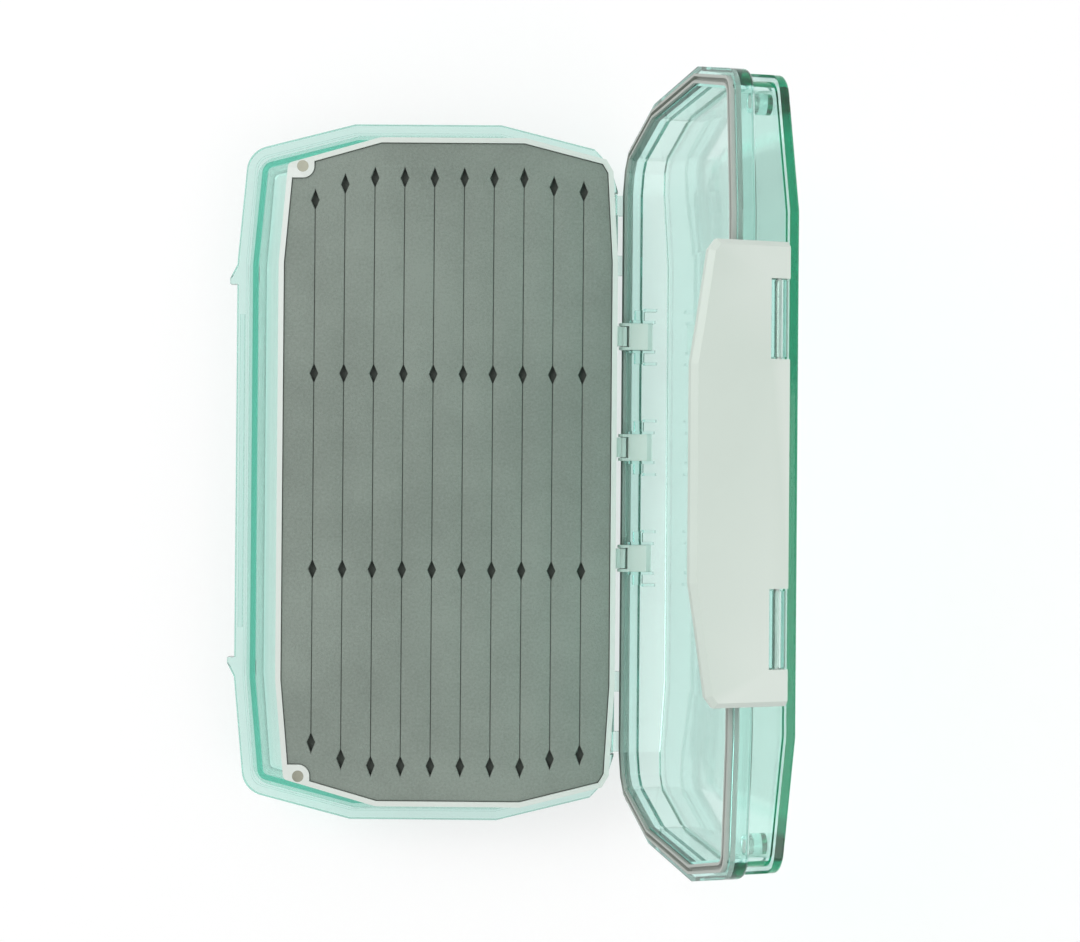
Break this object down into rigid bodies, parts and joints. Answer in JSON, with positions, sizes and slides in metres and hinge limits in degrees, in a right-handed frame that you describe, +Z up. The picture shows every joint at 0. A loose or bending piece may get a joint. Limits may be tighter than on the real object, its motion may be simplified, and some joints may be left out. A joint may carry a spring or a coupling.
{
  "type": "fly box",
  "caption": "Waterproof clamshell fly box, open: translucent faceted base and hinged lid with gasket, front latch, and a two-sided slit-foam swing leaf.",
  "frame": {"origin": "on the table under the middle of the base's sealing flange, in the flat resting face of the base", "axes": "+X from the latch side to the hinge side, +Y along the length of the box, +Z up from the table"},
  "size_m": [0.1415, 0.19, 0.1202],
  "materials": {
    "clear_teal": "translucent pale teal polycarbonate, polished",
    "grey_rubber": "light grey silicone rubber, matte",
    "white_plastic": "off-white moulded plastic, fine satin",
    "grey_foam": "grey closed-cell foam, matte",
    "tape": "double-sided mounting tape",
    "magnet": "nickel-plated magnet",
    "steel": "stainless steel pin"
  },
  "bodies": {
    "base": {"base_shell": "clear_teal", "hinge_pin_upper": "steel", "hinge_pin_lower": "steel"},
    "lid": {"lid_shell": "clear_teal", "lid_gasket": "grey_rubber", "lid_magnet_upper": "magnet", "lid_magnet_lower": "magnet", "leaf_bracket_1": "white_plastic", "leaf_bracket_2": "white_plastic", "leaf_bracket_3": "white_plastic", "leaf_pin_1": "steel", "leaf_pin_2": "steel", "leaf_pin_3": "steel"},
    "leaf": {"leaf_frame": "white_plastic", "leaf_foam_upper": "grey_foam", "leaf_foam_lower": "grey_foam", "foam_tape_upper": "tape", "foam_tape_lower": "tape", "leaf_magnet_upper": "magnet", "leaf_magnet_lower": "magnet"},
    "latch": {"latch": "white_plastic", "latch_pin_upper": "steel", "latch_pin_lower": "steel"}
  },
  "joints": [
    {"name": "lid_hinge", "type": "hinge", "parent": "base", "child": "lid", "pos_m": [0.0504, 0, 0.0136], "axis": [0, 1, 0], "range_deg": [-101, 0]},
    {"name": "leaf_hinge", "type": "hinge", "parent": "lid", "child": "leaf", "pos_m": [0.05363, 0, 0.01701], "axis": [0, 1, 0], "range_deg": [0, 101]},
    {"name": "latch_hinge", "type": "hinge", "parent": "lid", "child": "latch", "pos_m": [0.08263, 0, 0.11338], "axis": [0, 1, 0], "range_deg": [-6, 69]}
  ],
  "couplings": [
    {"joint": "leaf_hinge", "follows": "lid_hinge", "ratio": -1}
  ]
}
